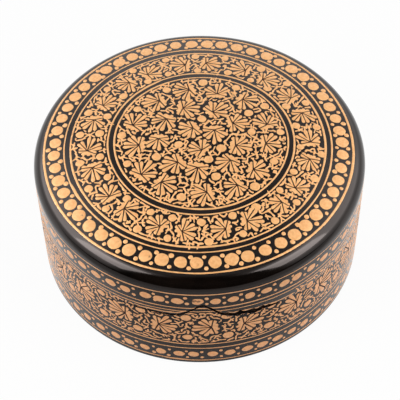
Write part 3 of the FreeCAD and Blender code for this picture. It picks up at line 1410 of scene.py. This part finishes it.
@dataclass
class CrownPainting(Painting):
    """Ornament on the lid's top: a disc border, a ring of leaves and a leafy medallion.

    Each line is a radius, an angle to start at and a half width. Each ring of the medallion is a
    number of leaves, a radius and a share of a turn.
    """

    seed: ClassVar[int] = 11
    outer_lines: tuple[Point, ...] = ((58.8, 2.4, 0.42), (50.8, -1.2, 0.31), (48.45, 0.9, 0.38))
    inner_lines: tuple[Point, ...] = ((35.4, 3.6, 0.34), (33.0, -2.3, 0.34))
    outer_centre: Span = (-0.35, 0.0)
    inner_centre: Span = (0.65, 0.2)
    border_discs: int = 55
    border_start: float = -0.18
    border_radius: float = 54.8
    border_disc: Span = (2.55, 2.5)
    border_spread: Span = (0.93, 1.06)
    border_stray: float = 0.1
    border_sides: int = 18
    border_uneven: float = 0.05
    row_stray: float = 0.03
    dot: float = 0.92
    dot_radii: Span = (56.95, 52.55)
    dot_spread: Span = (0.8, 1.15)
    dot_strays: Span = (0.08, 0.006)
    dot_sides: int = 10
    dot_uneven: float = 0.08
    ring_leaves: int = 22
    ring_start: float = 0.6
    ring_radius: float = 41.9
    ring_leaf_length: float = 6.3
    ring_leaf_spread: Span = (0.95, 1.04)
    ring_discs: Span = (46.2, 38.0)
    ring_disc: float = 1.65
    ring_disc_spread: Span = (0.88, 1.1)
    ring_disc_strays: Span = (0.25, 0.02)
    ring_aim_stray: float = 0.2
    medallion_rings: tuple[Point, ...] = ((3, 5.6, 0.3), (9, 16.0, 0.1), (13, 26.2, 0.0))
    medallion_ways: tuple[float, ...] = (0, 0.5, 1, 1.5)
    medallion_leaf_length: float = 6.75
    medallion_leaf_spread: Span = (0.93, 1.05)
    medallion_strays: Span = (0.35, 0.03)
    medallion_aim_stray: float = 0.3
    medallion_discs: int = 19
    medallion_disc: float = 1.8
    medallion_disc_spread: Span = (0.85, 1.12)
    medallion_disc_apart: float = 5.5
    medallion_tries: int = 3000
    tendrils: Tendrils = Tendrils(half_width=0.38, gap=0.4, joined=True, stretch=(-0.1, 0.95))
    tendril_margin: float = 0.59

    @property
    def medallion_edge(self) -> float:
        """Radius of the line round the medallion."""
        return self.inner_lines[-1][0]

    def _lines(self) -> None:
        """Draw the five rings."""
        for lines, centre in ((self.outer_lines, self.outer_centre), (self.inner_lines, self.inner_centre)):
            for radius, start, half_width in lines:
                LineBrush(half_width).ring(self.gold, radius, start, self.rng, centre)

    def _scattered(self, radius: float, angles: Array, strays: Span) -> Array:
        """Points near a radius and angles, strayed outwards and round."""
        radii = radius + self.rng.normal(0, strays[0], len(angles))
        return polar(radii, angles + self.rng.normal(0, strays[1], len(angles)))

    def _border(self) -> None:
        """Lay the large discs of the border, with a pair of dots between neighbours."""
        rng, total, centre = self.rng, self.border_discs, np.array(self.outer_centre)
        step = FULL_TURN / total
        angles = step * (np.arange(total) + self.border_start) + rng.normal(0, self.row_stray * step, total)
        sizes = np.array(self.border_disc) * rng.uniform(*self.border_spread, (total, 1))
        centres = polar(self.border_radius + rng.normal(0, self.border_stray, total), angles) + centre
        self.gold.dabs(centres, sizes, rng, self.border_sides, self.border_uneven, angles)
        for radius in self.dot_radii:
            spots = self._scattered(radius, angles + step / 2, self.dot_strays)
            dots = self.dot * rng.uniform(*self.dot_spread, (total, 1))
            self.gold.dabs(spots + centre, dots, rng, self.dot_sides, self.dot_uneven)

    def _leaf_ring(self) -> None:
        """Paint the ring of leaves, each against its neighbour, with discs between them."""
        rng, total = self.rng, self.ring_leaves
        step = FULL_TURN / total
        angles = step * (np.arange(total) + self.ring_start) + rng.normal(0, self.row_stray * step, total)
        headings = angles + np.where(np.arange(total) % 2, 0, math.pi)
        headings = headings + rng.normal(0, self.ring_aim_stray, total)
        lengths = self.ring_leaf_length * rng.uniform(*self.ring_leaf_spread, total)
        centre = (np.array(self.inner_centre) + np.array(self.outer_centre)) / 2
        middles = polar(self.ring_radius, angles) + centre
        LeafBrush().paint(self.gold, self.ink, middles, headings, lengths, rng)
        for radius in self.ring_discs:
            spots = self._scattered(radius, angles + step / 2, self.ring_disc_strays)
            sizes = self.ring_disc * rng.uniform(*self.ring_disc_spread, (total, 1))
            self.gold.dabs(spots + centre, sizes, rng)

    def _medallion(self) -> None:
        """Scatter leaves over the middle in three loose rings, and discs in the largest gaps."""
        rng, centre = self.rng, np.array(self.inner_centre)
        rings = []
        for count, radius, phase in self.medallion_rings:
            angles = FULL_TURN * (np.arange(count) / count + phase)
            angles = angles + rng.normal(0, self.medallion_strays[1], count)
            rings.append(polar(radius + rng.normal(0, self.medallion_strays[0], count), angles))
        middles = np.concatenate(rings) + centre
        total = len(middles)
        headings = np.arctan2(middles[:, 1], middles[:, 0]) + rng.choice(self.medallion_ways, total) * math.pi
        headings += rng.normal(0, self.medallion_aim_stray, total)
        lengths = self.medallion_leaf_length * rng.uniform(*self.medallion_leaf_spread, total)
        LeafBrush().paint(self.gold, self.ink, middles, headings, lengths, rng)

        prints, tries = self.gold.all_prints(), self.medallion_tries
        radii = self.medallion_edge * np.sqrt(rng.uniform(size=tries))
        spots = polar(radii, rng.uniform(0, FULL_TURN, tries)) + centre
        away = np.min([np.hypot(*(spots - p[:2]).T) - p[2] for p in prints], axis=0)
        chosen: list[Array] = []
        for spot in spots[np.argsort(-away)]:
            if all(np.hypot(*(spot - other)) > self.medallion_disc_apart for other in chosen):
                chosen.append(spot)
            if len(chosen) == self.medallion_discs:
                break
        sizes = self.medallion_disc * rng.uniform(*self.medallion_disc_spread, (len(chosen), 1))
        self.gold.dabs(np.array(chosen), sizes, rng)

    def _ground(self) -> None:
        """Fill the ground of the medallion and of the leaf ring with tendrils."""
        gap = self.tendrils.half_width + self.tendril_margin
        ring_edge, ring_foot = self.outer_lines[-1][0], self.inner_lines[0][0]

        def free(points: Array) -> NDArray[np.bool_]:
            """Tell the ground of the medallion and of the leaf ring.

            Args:
                points: Points of the chart.

            Returns:
                Whether each lies there.
            """
            inner = np.hypot(*(points - self.inner_centre).T)
            outer = np.hypot(*(points - self.outer_centre).T)
            return (inner < self.medallion_edge - gap) | ((inner > ring_foot + gap) & (outer < ring_edge - gap))

        corner = np.full(2, ring_edge)
        self.tendrils.paint(self.fill, self.gold.all_prints(), -corner, corner, free, self.rng)

    def build(self, gold: Material, ink: Material) -> None:
        """Paint everything and lay it on the lid.

        Args:
            gold: Material of the gold.
            ink: Material of the veins.
        """
        self._lines()
        self._border()
        self._leaf_ring()
        self._medallion()
        self._ground()
        self._lay(CrownChart(self.form), "crown", (gold, ink), Half.LID)


@dataclass
class WallPainting(Painting):
    """Ornament on the wall: two rows of discs, and between them a band of leaves.

    Each row of discs is a height, the heights of its dots and an angle in degrees to start at.
    Each edge line runs between two angles in degrees, and its waves are pairs of a size and a
    step. A rubbed spot is an angle in degrees and a height. A pair of strays is round and up.
    """

    seed: ClassVar[int] = 23
    parting: Parting
    lines: tuple[float, ...] = (46.0, 37.6, 35.6, 13.8, 10.9, 2.6)
    line_shift: float = 37.0
    rows: tuple[tuple[float, Span, float], ...] = ((41.8, (43.85, 40.2), -2.0), (6.4, (8.3, 4.4), -2.6))
    discs: int = 61
    disc: Span = (2.25, 1.8)
    disc_spread: Span = (0.9, 1.08)
    disc_strays: Span = (0.05, 0.12)
    disc_sides: int = 16
    disc_uneven: float = 0.08
    dot: float = 0.75
    dot_spread: Span = (0.8, 1.15)
    dot_strays: Span = (0.004, 0.1)
    dot_sides: int = 10
    leaves: int = 24
    first_leaf: float = math.radians(1.6)
    leaf_height: float = 25.0
    leaf_length: float = 7.7
    leaf_spread: Span = (0.96, 1.04)
    leaf_strays: Span = (0.025, 0.25)
    leaf_aim_stray: float = 0.07
    leaf_discs: Span = (31.3, 18.5)
    leaf_disc: float = 2.0
    leaf_disc_shape: Span = (1.05, 0.95)
    leaf_disc_spread: Span = (0.85, 1.08)
    leaf_disc_strays: Span = (0.008, 0.3)
    edge_lines: tuple[Span, ...] = ((-23.0, -5.0), (8.0, 33.0))
    edge_distance: float = 1.05
    edge_half_width: float = 0.33
    edge_station: float = 0.7
    edge_wave: Span = (0.25, 2.8)
    edge_width_wave: Span = (0.3, 2.0)
    edge_taper: float = 0.2
    rubbed_spots: tuple[Span, ...] = ((-2.2, 42.3), (9.0, 32.6), (9.6, 31.4), (22.8, 31.4))
    tendrils: Tendrils = Tendrils(half_width=0.39, gap=0.5, joined=False, stretch=(-0.1, 0.5))
    tendril_margin: float = 0.62

    @property
    def around(self) -> float:
        """Length once round the wall."""
        return FULL_TURN * self.form.radius

    def _at(self, angles: Array, heights: Array | float) -> Array:
        """Points of the chart at angles round the box and heights."""
        arc = self.form.radius * angles
        return np.stack(np.broadcast_arrays(arc, heights), -1).astype(float)

    def _scattered(self, angles: Array, height: float, strays: Span) -> Array:
        """Points of the chart near angles and a height, strayed round and up."""
        angles = angles + self.rng.normal(0, strays[0], len(angles))
        return self._at(angles, height + self.rng.normal(0, strays[1], len(angles)))

    def _lines(self) -> None:
        """Draw the level lines, each started further round than the last."""
        for count, height in enumerate(self.lines):
            start = -self.around / 2 + self.line_shift * count
            LineBrush().hoop(self.gold, height, self.around, start, self.rng)

    def _edge(self) -> None:
        """Draw wavering lines along the lid's edge, to both sides of the crest."""
        for ends in self.edge_lines:
            arc = np.arange(*np.radians(ends) * self.form.radius, self.edge_station)
            edge = self.parting.wall_edge(Half.LID, arc / self.form.radius)
            height = edge + self.edge_distance + self.edge_wave[0] * wander(arc, self.edge_wave[1], self.rng)
            share, step = self.edge_width_wave
            width = self.edge_half_width * (1 + share * wander(arc, step, self.rng))
            width[[0, -1]] *= self.edge_taper
            self.gold.strokes(np.stack([arc, height], 1)[None], width[None], self.rng)

    def _rows(self) -> None:
        """Lay the two rows of discs, with a pair of dots between neighbours."""
        rng, total = self.rng, self.discs
        step = FULL_TURN / total
        for height, dots, first in self.rows:
            angles = math.radians(first) + step * np.arange(total) - math.pi
            angles += math.pi % step + rng.normal(0, self.disc_strays[0] * step, total)
            centres = self._at(angles, height + rng.normal(0, self.disc_strays[1], total))
            sizes = np.array(self.disc) * rng.uniform(*self.disc_spread, (total, 2))
            self.gold.dabs(centres, sizes, rng, self.disc_sides, self.disc_uneven)
            for level in dots:
                spots = self._scattered(angles + step / 2, level, self.dot_strays)
                sizes = self.dot * rng.uniform(*self.dot_spread, (total, 1))
                self.gold.dabs(spots, sizes, rng, self.dot_sides)

    def _leaves(self) -> None:
        """Paint the band of leaves, each against its neighbour, with a disc pair between them."""
        rng, total = self.rng, self.leaves
        step = FULL_TURN / total
        angles = self.first_leaf + step * (np.arange(total) - total // 2)
        angles += rng.normal(0, self.leaf_strays[0] * step, total)
        headings = np.where(np.arange(total) % 2, 0.0, math.pi) + rng.normal(0, self.leaf_aim_stray, total)
        lengths = self.leaf_length * rng.uniform(*self.leaf_spread, total)
        middles = self._at(angles, self.leaf_height + rng.normal(0, self.leaf_strays[1], total))
        LeafBrush().paint(self.gold, self.ink, middles, headings, lengths, rng)
        for height in self.leaf_discs:
            spots = self._scattered(angles + step / 2, height, self.leaf_disc_strays)
            sizes = self.leaf_disc * rng.uniform(*self.leaf_disc_spread, (total, 1))
            self.gold.dabs(spots, sizes * np.array(self.leaf_disc_shape), rng)

    def _ground(self) -> None:
        """Fill the ground between the leaves with tendrils."""
        gap = self.tendrils.half_width + self.tendril_margin
        _, _, top, foot, *_ = self.lines
        low = np.array([-self.around / 2, foot + gap])
        high = np.array([self.around / 2 - self.tendrils.gap, top - gap])
        lined_from, lined_to = math.radians(self.edge_lines[0][0]), math.radians(self.edge_lines[-1][1])

        def free(points: Array) -> NDArray[np.bool_]:
            """Tell the ground of the band, without the lid's where the edge lines run.

            Args:
                points: Points of the chart.

            Returns:
                Whether each lies there.
            """
            angles = points[:, 0] / self.form.radius
            lined = (angles > lined_from) & (angles < lined_to)
            past = points[:, 1] > self.parting.wall_edge(Half.LID, angles)
            return ((points > low) & (points < high)).all(1) & ~(lined & past)

        self.tendrils.paint(self.fill, self.gold.all_prints(), low, high, free, self.rng)

    def scuffs(self) -> tuple[Point, ...]:
        """Points of the wall where the gold is rubbed, by the crest and the cut."""
        chart = WallChart(self.form)
        return tuple(tuple(chart.place(*self._at(math.radians(angle), height), 0.0).tolist())
                     for angle, height in self.rubbed_spots)

    def build(self, gold: Material, ink: Material) -> None:
        """Paint everything and lay it on both halves of the box.

        Args:
            gold: Material of the gold.
            ink: Material of the veins.
        """
        self._lines()
        self._rows()
        self._leaves()
        self._edge()
        self._ground()
        for half in Half:
            self._lay(WallChart(self.form), f"{half.value}_wall", (gold, ink), half, self.parting)


# The two halves of the box


@dataclass
class BaseShells:
    """Layers of the base: sole, lacquered ground, pulp, linings and the collar that guides the lid."""

    form: BoxForm
    parting: Parting
    lathe: Lathe
    collar_thickness: float = 1.8
    collar_depth: float = 9.0
    collar_clearance: float = 0.4
    collar_lip_bevel: float = 0.6
    skin_ease: float = 0.16
    pulp_ease: float = 0.25
    lining_ease: float = 0.1
    sole_eases: Span = (0.5, 0.4)
    lip_eases: Point = (0.5, 0.4, 0.25)
    ring_steps: int = 5
    unbent: Span = (200.0, 201.0)

    def _ring(self, inner: float, outer: float, foot: float, ease: float) -> Array:
        """Closed section of a ring, from a height up to the parting.

        Args:
            inner: Depth of its inner face.
            outer: Depth of its outer face.
            foot: Height of its foot.
            ease: Reach of the rounding of its outer edge; the inner one has half of it.

        Returns:
            Points (r, z).
        """
        inside, outside = self.form.radius - inner, self.form.radius - outer
        top = self.parting.height
        corners = [[outside, foot], [outside, top], [inside, top], [inside, foot], [outside, foot]]
        return eased(np.array(corners, float), np.array([0, ease, ease / 2, 0, 0]), self.ring_steps)[:-1]

    def _sole(self, seam: float) -> Array:
        """Section of the sole, turned up round its rounded bevel.

        Args:
            seam: Height at which it meets the wall's ground.

        Returns:
            Points (r, z).
        """
        form = self.form
        wall, inner = form.radius - form.paint_room, form.radius - form.ground
        bevel = form.sole_bevel - form.paint_room
        corners = [[0, 0], [wall / 2, 0], [wall - bevel, 0], [wall, bevel + form.paint_room], [wall, seam],
                   [inner, seam], [inner, form.ground], [0, form.ground]]
        return eased(np.array(corners), np.array([0, 0, *self.sole_eases, 0, 0, 0, 0]))

    def _pulp(self) -> Array:
        """Section of the cup of pulp, with its rim on the parting.

        Returns:
            Points (r, z).
        """
        form, top = self.form, self.parting.height
        outside = form.floor_run(form.ground, 0)
        rim = np.array([[form.radius - form.ground, top], [form.radius - form.pulp_face, top]])
        inside = form.floor_run(form.pulp_face, form.floor_bevel)
        section = np.concatenate([outside, rim, inside[::-1]])
        eases = np.zeros(len(section))
        eases[len(outside):len(outside) + 2] = self.pulp_ease
        return eased(section, eases)

    def _floor_lining(self, seam: float) -> Array:
        """Section of the lining on the floor, turned up round its bevel.

        Args:
            seam: Height at which it meets the wall's lining.

        Returns:
            Points (r, z).
        """
        form = self.form
        outside = form.floor_run(form.pulp_face, form.floor_bevel)
        rim = np.array([[form.radius - form.pulp_face, seam]])
        return np.concatenate([outside, rim, form.floor_run(form.cavity_face, form.floor_bevel)[::-1]])

    def _collar(self) -> Array:
        """Section of the collar: its foot against the lining, its neck pared back past the cut.

        Returns:
            Points (r, z).
        """
        top, cavity = self.parting.height, self.form.radius - self.form.cavity_face
        inside, neck = cavity - self.collar_thickness, cavity - self.collar_clearance
        foot, lip = top - self.collar_depth, top + self.form.collar_stand
        pared = top - self.form.radius * math.tan(self.parting.tilt) - self.collar_clearance
        bevel = self.collar_lip_bevel
        corners = [[cavity, foot], [cavity, pared - self.collar_clearance], [neck, pared], [neck, lip - bevel],
                   [neck - bevel, lip], [inside, lip], [inside, foot], [cavity, foot]]
        eases = np.array([0, 0, 0, *self.lip_eases, 0, 0])
        return eased(np.array(corners, float), eases, self.ring_steps)[:-1]

    def build(self) -> None:
        """Make every layer of the base."""
        form, shell = self.form, self.lathe.shell
        seam, lining_seam = form.ground + form.sole_bevel, form.cavity_face + form.floor_bevel
        skin = self._ring(form.ground, form.paint_room, seam, self.skin_ease)
        lining = self._ring(form.cavity_face, form.pulp_face, lining_seam, self.lining_ease)
        shell("base_lacquered_wall", "base_skin", Half.BASE, Slot.LACQUER, skin, closed=True, ragged=True)
        shell("base_sole_shell", "base_sole", Half.BASE, Slot.SOLE, self._sole(seam))
        shell("base_pulp_shell", "base_core", Half.BASE, Slot.PULP, self._pulp())
        shell("base_wall_lining_sheet", "base_wall_lining", Half.BASE, Slot.LINING, lining, closed=True)
        floor_lining = self._floor_lining(lining_seam)
        shell("base_floor_lining_sheet", "base_floor_lining", Half.BASE, Slot.LINING, floor_lining)
        level = replace(self.lathe, base_anchor=self.unbent)
        level.shell("base_collar_ring", "base_collar", Half.BASE, Slot.COLLAR, self._collar(), closed=True)


@dataclass
class LidShells:
    """Layers of the lid: lacquered ground with its round shoulder, pulp and linings."""

    form: BoxForm
    parting: Parting
    lathe: Lathe
    skin_ease: float = 0.16
    pulp_ease: float = 0.25
    rim_steps: int = 5

    def _cap(self, outer: float, inner: float, rounded: bool, ease: float) -> Array:
        """Section of a cap with its rim on the parting, from the axis inside round and back.

        Args:
            outer: Depth of its outer face.
            inner: Depth of its inner face.
            rounded: Whether its shoulder is round outside.
            ease: Reach of the rounding of its outer edge; the inner one has half of it.

        Returns:
            Points (r, z).
        """
        foot = self.parting.level(Half.LID)
        inside = self.form.crown_run(inner, False)
        rim = np.array([[self.form.radius - inner, foot], [self.form.radius - outer, foot]])
        section = np.concatenate([inside, rim, self.form.crown_run(outer, rounded)[::-1]])
        eases = np.zeros(len(section))
        eases[len(inside):len(inside) + 2] = (ease / 2, ease)
        return eased(section, eases, self.rim_steps)

    def build(self) -> None:
        """Make every layer of the lid."""
        form, shell = self.form, self.lathe.shell
        skin = self._cap(form.paint_room, form.ground, True, self.skin_ease)
        pulp = self._cap(form.ground, form.pulp_face, False, self.pulp_ease)
        inside, outside = form.radius - form.cavity_face, form.radius - form.pulp_face
        foot, seam = self.parting.level(Half.LID), form.shoulder_height
        lining = np.array([[outside, foot], [outside, seam], [inside, seam], [inside, foot]])
        crown = [form.crown_run(form.cavity_face, False), form.crown_run(form.pulp_face, False)[::-1]]
        shell("lid_lacquered_shell", "lid_skin", Half.LID, Slot.LACQUER, skin, ragged=True)
        shell("lid_pulp_shell", "lid_core", Half.LID, Slot.PULP, pulp)
        shell("lid_wall_lining_sheet", "lid_wall_lining", Half.LID, Slot.LINING, lining, closed=True)
        shell("lid_crown_lining_sheet", "lid_crown_lining", Half.LID, Slot.LINING, np.concatenate(crown))


# Floor, light and camera


@dataclass
class Studio:
    """Pale floor, soft lamps, bright room and the camera of the photograph.

    Lengths are in metres here. A way is a direction from the box, of length 1, and a fade is the
    two places between which a light sets in or falls off.
    """

    floor_radii: Span = (0.062, 2.5)
    floor_corners: int = 128
    floor_colour: Colour = (0.88, 0.88, 0.88)
    floor_glow: float = 0.95
    mirrored_glow: float = 0.14
    mirrored_glow_fade: Span = (-0.08, -0.015)
    # Painted shade on the floor, seen only in mirrors: black towards the camera past the first fade, darker in
    # front of the box by the level of the second.
    mirror_painted_shade_end_fade: Span = (-0.22, -0.15)
    mirror_painted_shade: float = 0.45
    mirror_painted_shade_fade: Span = (-0.08, -0.05)
    room_level: float = 0.54
    front_share: float = 0.25
    front_fade: Span = (-0.25, 0.05)
    front_width: float = 0.6
    mirror_front: float = 0.015
    mirror_front_fade: Span = (-0.05, 0.35)
    mirror_levels: Point = (0.85, 1.7, 0.42)
    mirror_low_fade: Span = (0.1, 0.42)
    mirror_high_fade: Span = (0.42, 0.80)
    box_levels: Span = (4.2, 3.0)
    box_edges: Span = (0.09, 0.54)
    box_front_fade: Span = (-0.6, -0.1)
    box_back_fade: Span = (0.45, 0.85)
    box_back: float = 0.2
    box_foot_fade: Span = (0.20, 0.46)
    box_top_fade: Span = (0.87, 0.98)
    lamp_way: Point = (0.66, -0.34, 0.70)
    lamp_distance: float = 0.9
    lamp_size: float = 0.5
    lamp_level: float = 0.415
    elevation: float = 0.857959
    distance: float = 0.4975
    roll: float = -0.0175635
    lens: float = 117.49
    pivot: Point = (0.0, 0.0, 0.0531)
    aim_shift: Point = (-0.00005, 0.0, -0.03247)

    def floor(self) -> None:
        """Lay the floor, a flat ring that is open right under the box, so that its sole can be seen."""
        mesh = bpy.data.meshes.new("floor")
        turn = np.linspace(0, FULL_TURN, self.floor_corners, endpoint=False)
        rings = [np.stack([r * np.cos(turn), r * np.sin(turn), 0 * turn], 1) for r in self.floor_radii]
        inner = np.arange(self.floor_corners)
        outer = inner + self.floor_corners
        quads = np.stack([inner, outer, np.roll(outer, -1), np.roll(inner, -1)], 1)
        mesh.from_pydata(np.concatenate(rings).tolist(), [], quads.tolist())
        mesh.materials.append(self._floor_white())
        piece = bpy.data.objects.new("floor", mesh)
        bpy.context.scene.collection.objects.link(piece)

    def _floor_white(self) -> Material:
        """White of the floor.

        To the camera it mostly glows white, so its shadows are faint, and so it does in mirrors,
        but less so before the box. Mirrors also see painted shade on it: darker in front of the box,
        and black further towards the camera, as if a table ended there.

        Returns:
            The new material.
        """
        material = bpy.data.materials.new("floor_white")
        nodes = Nodes(material)
        camera, mirror = nodes.rays()
        ahead = nodes.axes().outputs["Y"]
        near = nodes.spread(ahead, *self.mirrored_glow_fade, self.mirrored_glow, self.floor_glow)
        share = nodes.math("MAXIMUM", nodes.math("MULTIPLY", camera, self.floor_glow),
                           nodes.math("MULTIPLY", mirror, near))
        paint = nodes.add("ShaderNodeBsdfDiffuse", {"Color": rgba(self.floor_colour)})
        glow = nodes.add("ShaderNodeEmission", {"Color": (1, 1, 1, 1), "Strength": 1.0})
        bright = nodes.add("ShaderNodeMixShader", {0: share, 1: paint.outputs[0], 2: glow.outputs[0]})
        dark = nodes.add("ShaderNodeEmission", {"Color": (0, 0, 0, 1), "Strength": 0.0})
        # Painted shade seen only in mirrors: black towards the camera, darker in front of the box.
        far = nodes.math("MAXIMUM", nodes.spread(ahead, *self.mirror_painted_shade_end_fade, 1, 0),
                         nodes.spread(ahead, *self.mirror_painted_shade_fade, self.mirror_painted_shade, 0))
        far = nodes.math("MULTIPLY", mirror, far)
        mixed = nodes.add("ShaderNodeMixShader", {0: far, 1: bright.outputs[0], 2: dark.outputs[0]})
        nodes.add("ShaderNodeOutputMaterial", {"Surface": mixed.outputs[0]})
        return material

    def room(self) -> None:
        """Light the room: white to the camera, dimmer in front, where the mirrors see it dark."""
        world = bpy.data.worlds.new("room")
        bpy.context.scene.world = world
        nodes = Nodes(world)
        way = nodes.axes("Generated").outputs
        toward = nodes.math("MULTIPLY", way["Y"], -1.0)
        aside = nodes.math("MULTIPLY", nodes.math("ABSOLUTE", way["X"], 0.0), self.front_width)
        front = nodes.math("SUBTRACT", toward, aside)
        lit = nodes.spread(nodes.spread(front, *self.front_fade, 0, 1), 0, 1, 1.0, self.front_share)
        camera, mirror = nodes.rays()
        level = nodes.math("MULTIPLY", lit, self.room_level)
        level = nodes.mix(mirror, level, self._mirrored(nodes, way, front))
        level = nodes.mix(camera, level, 1.0)
        sky = nodes.add("ShaderNodeBackground", {"Color": (1, 1, 1, 1), "Strength": level})
        nodes.add("ShaderNodeOutputWorld", {"Surface": sky.outputs[0]})

    def _mirrored(self, nodes: Nodes, way: bpy.types.NodeOutputs, front: Socket) -> Socket:
        """Level of the room as the lacquer mirrors it, with a large soft box to each side.

        Args:
            nodes: Tree of the world.
            way: Coordinates of the way, as sockets X, Y and Z.
            front: How far the way points to the front.

        Returns:
            The level.
        """
        low, middle, high = self.mirror_levels
        rise = nodes.spread(way["Z"], *self.mirror_high_fade, middle, high)
        rise = nodes.math("MULTIPLY", rise, nodes.spread(way["Z"], *self.mirror_low_fade, low / middle, 1.0))
        ahead = nodes.spread(front, *self.mirror_front_fade, 1.0, self.mirror_front)
        room = nodes.math("MULTIPLY", rise, ahead)
        inner, outer = self.box_edges
        left = nodes.spread(way["X"], -outer, -inner, self.box_levels[0], 0)
        right = nodes.spread(way["X"], inner, outer, 0, self.box_levels[1])
        deep = nodes.math("MULTIPLY", nodes.spread(way["Y"], *self.box_front_fade, 0, 1),
                          nodes.spread(way["Y"], *self.box_back_fade, 1, self.box_back))
        tall = nodes.math("MULTIPLY", nodes.spread(way["Z"], *self.box_foot_fade, 0, 1),
                          nodes.spread(way["Z"], *self.box_top_fade, 1, 0))
        boxes = nodes.math("MULTIPLY", nodes.math("MAXIMUM", left, right), nodes.math("MULTIPLY", deep, tall))
        return nodes.math("MAXIMUM", room, boxes)

    def lamp(self, name: str, way: Vector) -> None:
        """Hang a square soft lamp.

        Its power is pi^2 d^2 times the level, so that level 1 alone would light a white face to white.

        Args:
            name: Name of the lamp.
            way: Direction from the box to the lamp.
        """
        way = way.normalized()
        light = bpy.data.lights.new(name, "AREA")
        light.shape = "SQUARE"
        light.size = self.lamp_size
        light.energy = self.lamp_level * math.pi**2 * self.lamp_distance**2
        holder = bpy.data.objects.new(name, light)
        holder.location = way * self.lamp_distance
        holder.rotation_euler = way.to_track_quat("Z", "Y").to_euler()
        bpy.context.scene.collection.objects.link(holder)

    def camera(self) -> None:
        """Place the camera as fitted to the photograph's rings and outline."""
        pivot = Vector(self.pivot)
        eye = pivot + self.distance * Vector((0, -math.cos(self.elevation), math.sin(self.elevation)))
        aim = (pivot + Vector(self.aim_shift) - eye).normalized()
        side = aim.cross(Vector((0, 0, 1))).normalized()
        rise = side.cross(aim)
        right = side * math.cos(self.roll) + rise * math.sin(self.roll)
        up = rise * math.cos(self.roll) - side * math.sin(self.roll)
        data = bpy.data.cameras.new("camera")
        data.lens = self.lens
        data.sensor_width = 36.0
        data.clip_start = 0.01
        holder = bpy.data.objects.new("camera", data)
        holder.matrix_world = Matrix.Translation(eye) @ Matrix((right, up, -aim)).transposed().to_4x4()
        bpy.context.scene.collection.objects.link(holder)
        bpy.context.scene.camera = holder

    def build(self) -> None:
        """Set up floor, room, lamps and camera."""
        self.camera()
        self.floor()
        self.room()
        aside, back, high = self.lamp_way
        self.lamp("lamp_left", Vector((-aside, back, high)))
        self.lamp("lamp_right", Vector((aside, back, high)))
        bpy.context.scene.view_settings.view_transform = "Standard"


def main() -> None:
    """Build the two halves, paint them and set up the studio."""
    logging.basicConfig(level=logging.INFO, format="%(name)s: %(message)s")
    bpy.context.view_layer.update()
    form = BoxForm.from_frame()
    parting = Parting(form)
    lip = parting.height + form.collar_stand
    satin = Lacquer("black_lacquer_satin", gloss=(0.30, 0.45), wave_depth=0.05, grain_depth=0.01)
    lathe = Lathe(parting, {
        Slot.LACQUER: Lacquer("black_lacquer_gloss").material(),
        Slot.SOLE: Lacquer("black_lacquer_sole", gloss=(0.24, 0.42), grain_depth=0.008).material(),
        Slot.LINING: satin.material(),
        Slot.COLLAR: RubbedLacquer("collar_lacquer_rubbed", heights=(lip - 2.5, lip)).material(),
        Slot.PULP: Pulp("stained_pulp").material(),
    })
    BaseShells(form, parting, lathe).build()
    LidShells(form, parting, lathe).build()

    wall = WallPainting(form, parting)
    worn_gold = GoldPaint("gold_under_varnish_scuffed", full=(0.98, 0.50, 0.22), thin=(0.90, 0.405, 0.16),
                          scuffs=wall.scuffs())
    ink = Lacquer("vein_ink", deep=(0.010, 0.003, 0.002), thin=(0.022, 0.007, 0.004), gloss=(0.5, 0.6),
                  sheen_colour=(0.4, 0.2, 0.15)).material()
    CrownPainting(form).build(GoldPaint("gold_under_varnish").material(), ink)
    wall.build(worn_gold.material(), ink)
    Studio().build()


if __name__ == "__main__":
    main()
